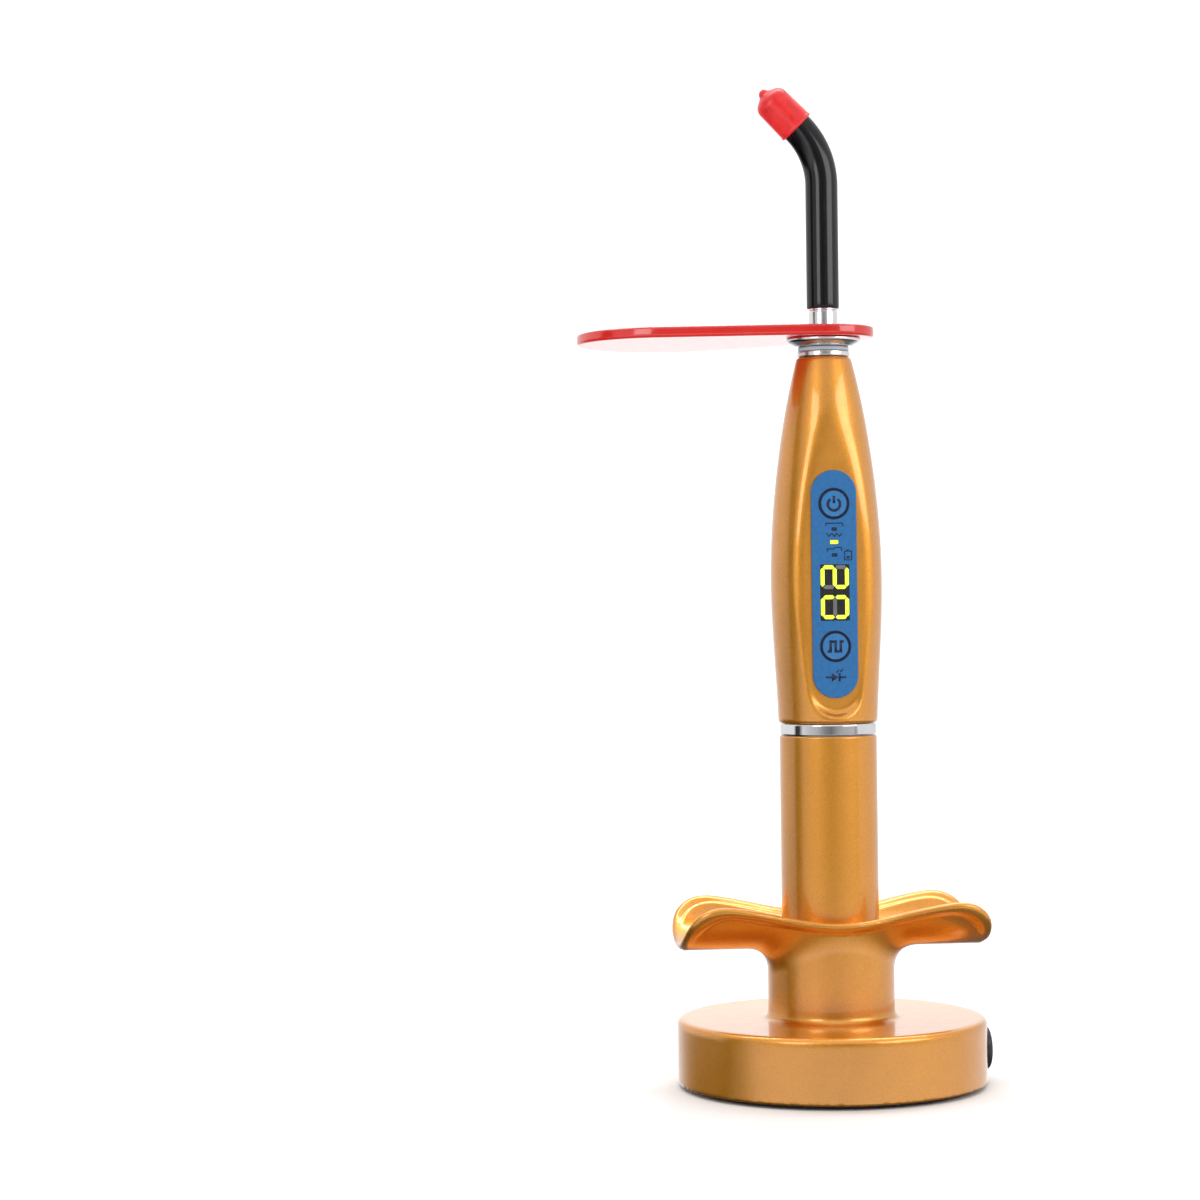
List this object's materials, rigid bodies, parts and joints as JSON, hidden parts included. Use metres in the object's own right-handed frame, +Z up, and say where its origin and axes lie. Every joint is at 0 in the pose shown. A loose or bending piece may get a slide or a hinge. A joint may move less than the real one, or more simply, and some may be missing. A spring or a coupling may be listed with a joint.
{
  "type": "dental curing light",
  "caption": "Cordless dental curing light with a bent light guide, turning eye shield, tip cap, key panel and display, standing in a round charging stand with a cradle.",
  "frame": {"origin": "on the table, at the centre of the base's underside and on the axis shared by the socket and the handpiece", "axes": "+Z up along the handpiece; -Y is the front, where the control panel faces; the light guide bends towards -X; the charging inlet is on +X"},
  "size_m": [0.0987, 0.077, 0.2463],
  "materials": {
    "gold_paint": "semi-gloss metallic gold paint",
    "black_plastic": "satin black plastic",
    "dark_rubber": "matte black rubber",
    "steel": "plain steel",
    "brass": "polished brass",
    "wire": "insulated wire",
    "board_green": "circuit board",
    "chrome": "polished chrome",
    "grey_rubber": "satin grey silicone",
    "aluminium": "machined aluminium",
    "panel_blue": "printed blue film",
    "button_blue": "printed blue film with a dark ring",
    "dark_window": "dark window over lit digits",
    "clear_plastic": "clear plastic",
    "led_white": "light emitting diode",
    "white_plastic": "moulded plastic",
    "cell_wrap": "shrink wrapped cell",
    "guide_black": "gloss black cladding",
    "fibre_glass": "fibre optic glass rod",
    "red_vinyl": "soft red vinyl",
    "red_acrylic": "translucent red acrylic"
  },
  "bodies": {
    "stand": {"stand_body": "gold_paint", "base_plate": "black_plastic", "base_screws": "steel", "non_slip_pad": "dark_rubber", "ballast_ring": "steel", "dc_jack": "black_plastic", "dc_jack_nut": "steel", "dc_jack_pin": "brass", "jack_leads": "wire", "charge_board": "board_green", "board_screws": "steel", "pin_holder": "black_plastic"},
    "handpiece": {"upper_casing": "gold_paint", "lower_sleeve": "gold_paint", "end_cap": "black_plastic", "decor_band": "chrome", "neck_ring": "chrome", "neck_gasket": "grey_rubber", "head_collar": "chrome", "guide_socket": "aluminium", "panel_overlay": "panel_blue", "display_window": "dark_window", "digit_display": "black_plastic", "mode_light_pipes": "clear_plastic", "mode_leds": "led_white", "tact_switches": "steel", "control_board": "board_green", "microcontroller": "black_plastic", "driver_inductor": "black_plastic", "buzzer": "black_plastic", "inner_frame": "white_plastic", "led_heatsink": "aluminium", "led_leads": "wire", "led_emitter": "led_white", "led_lens": "clear_plastic", "joining_sleeve": "aluminium", "contact_holder": "black_plastic", "battery_contact": "brass", "battery_leads": "wire", "battery_cell": "cell_wrap", "battery_spring": "steel", "contact_ring": "brass", "contact_insulator": "black_plastic", "contact_centre": "brass"},
    "light_guide": {"guide_core": "fibre_glass", "guide_sheath": "guide_black", "guide_ferrule": "chrome", "guide_o_rings": "dark_rubber"},
    "tip_cap": {"tip_cap": "red_vinyl"},
    "eye_shield": {"eye_shield": "red_acrylic"},
    "power_button": {"power_button": "button_blue"},
    "mode_button": {"mode_button": "button_blue"},
    "charge_pin_centre": {"charge_pin_centre": "brass", "pin_spring_centre": "steel"},
    "charge_pin_outer": {"charge_pin_outer": "brass", "pin_spring_outer": "steel"}
  },
  "joints": [
    {"name": "handpiece_lift", "type": "slide", "parent": "stand", "child": "handpiece", "axis": [0, 0, 1], "range_m": [0, 0.06]},
    {"name": "power_press", "type": "slide", "parent": "handpiece", "child": "power_button", "axis": [0, 1, 0], "range_m": [0, 0.0004], "stiffness_N_per_m": 600},
    {"name": "mode_press", "type": "slide", "parent": "handpiece", "child": "mode_button", "axis": [0, 1, 0], "range_m": [0, 0.0004], "stiffness_N_per_m": 600},
    {"name": "guide_turn", "type": "hinge", "parent": "handpiece", "child": "light_guide", "pos_m": [0, 0, 0.18], "axis": [0, 0, 1], "continuous": true},
    {"name": "cap_pull", "type": "slide", "parent": "light_guide", "child": "tip_cap", "axis": [-0.7071, 0, 0.7071], "range_m": [0, 0.012]},
    {"name": "shield_turn", "type": "hinge", "parent": "light_guide", "child": "eye_shield", "pos_m": [0, 0, 0.185], "axis": [0, 0, 1], "continuous": true},
    {"name": "centre_pin_press", "type": "slide", "parent": "stand", "child": "charge_pin_centre", "axis": [0, 0, 1], "range_m": [-0.0008, 0], "stiffness_N_per_m": 200, "springref_m": 0.0005, "deforming": ["pin_spring_centre"]},
    {"name": "outer_pin_press", "type": "slide", "parent": "stand", "child": "charge_pin_outer", "axis": [0, 0, 1], "range_m": [-0.0008, 0], "stiffness_N_per_m": 200, "springref_m": 0.0005, "deforming": ["pin_spring_outer"]}
  ]
}
